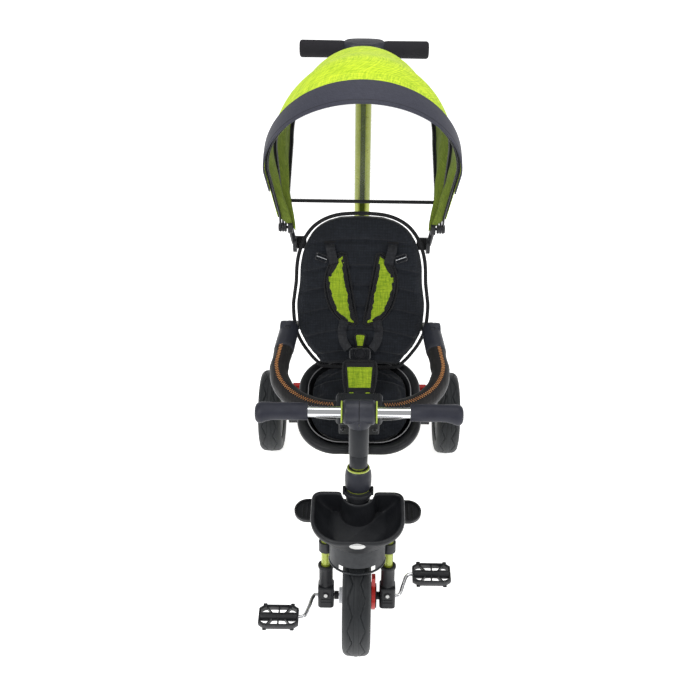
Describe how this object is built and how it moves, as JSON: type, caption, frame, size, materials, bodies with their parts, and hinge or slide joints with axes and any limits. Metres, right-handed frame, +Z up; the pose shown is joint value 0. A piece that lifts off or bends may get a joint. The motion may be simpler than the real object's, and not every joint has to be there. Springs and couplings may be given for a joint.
{
  "type": "children's tricycle",
  "caption": "Children's push-along tricycle with pedals, turning padded seat, guard rail, folding sun canopy, front basket and telescopic push handle.",
  "frame": {"origin": "bottom centre of the whole object on the floor, midway between the front tyre and the back of the push handle", "axes": "+Z up, the front faces -Y, +X to the right when looking along +Y"},
  "size_m": [0.517, 0.9244, 1.089],
  "materials": {
    "lime_paint": "gloss powder coat",
    "lime_handle_paint": "gloss powder coat",
    "chrome": "polished",
    "steel": "zinc plated",
    "black_plastic": "fine moulded grain",
    "grey_plastic": "fine moulded grain",
    "black_gloss": "gloss moulded",
    "red_plastic": "gloss moulded",
    "white_plastic": "gloss moulded",
    "rim_plastic": "silver moulded",
    "lime_rubber": "soft",
    "grip_rubber": "soft grip",
    "foam_grip": "closed cell foam",
    "tyre": "moulded",
    "seat_fabric": "woven, quilted",
    "lime_pad_fabric": "woven, padded",
    "guard_cover": "stitched leatherette",
    "lime_fabric": "heathered woven",
    "brim_fabric": "woven"
  },
  "bodies": {
    "frame": {"main_frame": "lime_paint", "head_bushes": "black_plastic", "head_collar": "grey_plastic", "rear_axle": "steel", "brake_housings": "black_plastic", "footrest_bracket": "black_plastic", "seat_base": "black_plastic", "push_bar_lower": "lime_handle_paint", "push_clamp": "black_plastic"},
    "push_handle": {"push_bar_upper": "lime_handle_paint", "handle_hub": "grey_plastic", "handle_tube": "steel", "handle_grips": "foam_grip"},
    "push_button": {"push_button": "black_gloss"},
    "steering": {"fork": "lime_paint", "fork_sleeves": "black_plastic", "fork_ends": "black_plastic", "screw_caps": "white_plastic", "fender": "black_gloss", "basket": "black_gloss", "badge": "rim_plastic", "stem_cover": "black_plastic", "handlebar": "chrome", "clamp_left": "grey_plastic", "clamp_right": "grey_plastic", "clamp_rings": "lime_rubber", "bar_grips": "grip_rubber"},
    "front_wheel": {"front_tyre": "tyre", "front_rim": "rim_plastic", "clutch_housing": "black_plastic"},
    "clutch_lever": {"clutch_lever": "red_plastic"},
    "crank": {"crank": "chrome"},
    "pedal_left": {"pedal_left": "black_plastic"},
    "pedal_right": {"pedal_right": "black_plastic"},
    "rear_wheel_left": {"rear_tyre_left": "tyre", "rear_rim_left": "rim_plastic"},
    "rear_wheel_right": {"rear_tyre_right": "tyre", "rear_rim_right": "rim_plastic"},
    "brake_left": {"brake_pedal_left": "red_plastic"},
    "brake_right": {"brake_pedal_right": "red_plastic"},
    "footrest_left": {"footrest_left": "black_plastic"},
    "footrest_right": {"footrest_right": "black_plastic"},
    "seat": {"seat_shell": "black_plastic", "seat_turntable": "steel", "seat_cushion": "seat_fabric", "back_shell": "black_plastic", "back_cushion": "seat_fabric", "shoulder_pads": "lime_pad_fabric", "crotch_pad": "lime_pad_fabric", "buckle": "black_gloss", "canopy_brackets": "black_plastic", "canopy_rear_hoop": "black_gloss", "canopy_cover": "lime_fabric"},
    "buckle_button": {"buckle_button": "black_gloss"},
    "guard": {"guard_elbows": "grey_plastic", "guard_bar": "guard_cover", "guard_post": "black_plastic"},
    "canopy_front": {"canopy_front_hoop": "black_gloss", "canopy_brim": "brim_fabric"},
    "canopy_mid": {"canopy_mid_hoop": "black_gloss"}
  },
  "joints": [
    {"name": "steer", "type": "hinge", "parent": "frame", "child": "steering", "pos_m": [0, -0.3362, 0.126], "axis": [0, 0.3256, 0.9455], "range_deg": [-30, 30]},
    {"name": "front_wheel_spin", "type": "hinge", "parent": "steering", "child": "front_wheel", "pos_m": [0, -0.3362, 0.126], "axis": [1, 0, 0], "continuous": true},
    {"name": "crank_spin", "type": "hinge", "parent": "steering", "child": "crank", "pos_m": [0, -0.3362, 0.126], "axis": [1, 0, 0], "continuous": true},
    {"name": "pedal_left_spin", "type": "hinge", "parent": "crank", "child": "pedal_left", "pos_m": [-0.1643, -0.3912, 0.126], "axis": [1, 0, 0], "continuous": true},
    {"name": "pedal_right_spin", "type": "hinge", "parent": "crank", "child": "pedal_right", "pos_m": [0.1643, -0.2812, 0.126], "axis": [1, 0, 0], "continuous": true},
    {"name": "clutch_shift", "type": "hinge", "parent": "front_wheel", "child": "clutch_lever", "pos_m": [0, -0.3362, 0.126], "axis": [1, 0, 0], "range_deg": [0, 25]},
    {"name": "rear_left_spin", "type": "hinge", "parent": "frame", "child": "rear_wheel_left", "pos_m": [-0.2295, 0.2358, 0.108], "axis": [1, 0, 0], "continuous": true},
    {"name": "rear_right_spin", "type": "hinge", "parent": "frame", "child": "rear_wheel_right", "pos_m": [0.2295, 0.2358, 0.108], "axis": [1, 0, 0], "continuous": true},
    {"name": "brake_left_press", "type": "hinge", "parent": "frame", "child": "brake_left", "pos_m": [-0.1745, 0.2698, 0.112], "axis": [-1, 0, 0], "range_deg": [0, 15], "stiffness_Nm_per_rad": 0.6},
    {"name": "brake_right_press", "type": "hinge", "parent": "frame", "child": "brake_right", "pos_m": [0.1745, 0.2698, 0.112], "axis": [-1, 0, 0], "range_deg": [0, 15], "stiffness_Nm_per_rad": 0.6},
    {"name": "footrest_left_fold", "type": "hinge", "parent": "frame", "child": "footrest_left", "pos_m": [-0.034, -0.1712, 0.205], "axis": [0, 1, 0], "range_deg": [0, 80]},
    {"name": "footrest_right_fold", "type": "hinge", "parent": "frame", "child": "footrest_right", "pos_m": [0.034, -0.1712, 0.205], "axis": [0, -1, 0], "range_deg": [0, 80]},
    {"name": "seat_turn", "type": "hinge", "parent": "frame", "child": "seat", "pos_m": [0, 0.0588, 0.3], "axis": [0, 0, 1], "continuous": true},
    {"name": "buckle_press", "type": "slide", "parent": "seat", "child": "buckle_button", "axis": [0, 0.9205, -0.3907], "range_m": [0, 0.003], "stiffness_N_per_m": 300},
    {"name": "guard_lift", "type": "hinge", "parent": "seat", "child": "guard", "pos_m": [0, 0.1418, 0.47], "axis": [-1, 0, 0], "range_deg": [0, 70]},
    {"name": "canopy_fold", "type": "hinge", "parent": "seat", "child": "canopy_front", "pos_m": [0, 0.2038, 0.71], "axis": [-1, 0, 0], "range_deg": [0, 28]},
    {"name": "canopy_mid_fold", "type": "hinge", "parent": "seat", "child": "canopy_mid", "pos_m": [0, 0.2038, 0.71], "axis": [-1, 0, 0], "range_deg": [0, 14]},
    {"name": "push_bar_slide", "type": "slide", "parent": "frame", "child": "push_handle", "axis": [0, 0.2181, 0.9759], "range_m": [-0.12, 0]},
    {"name": "push_button_press", "type": "slide", "parent": "frame", "child": "push_button", "axis": [0, -0.9759, 0.2181], "range_m": [0, 0.003], "stiffness_N_per_m": 300}
  ],
  "couplings": [
    {"joint": "crank_spin", "follows": "front_wheel_spin", "ratio": 1},
    {"joint": "canopy_mid_fold", "follows": "canopy_fold", "ratio": 0.5}
  ]
}
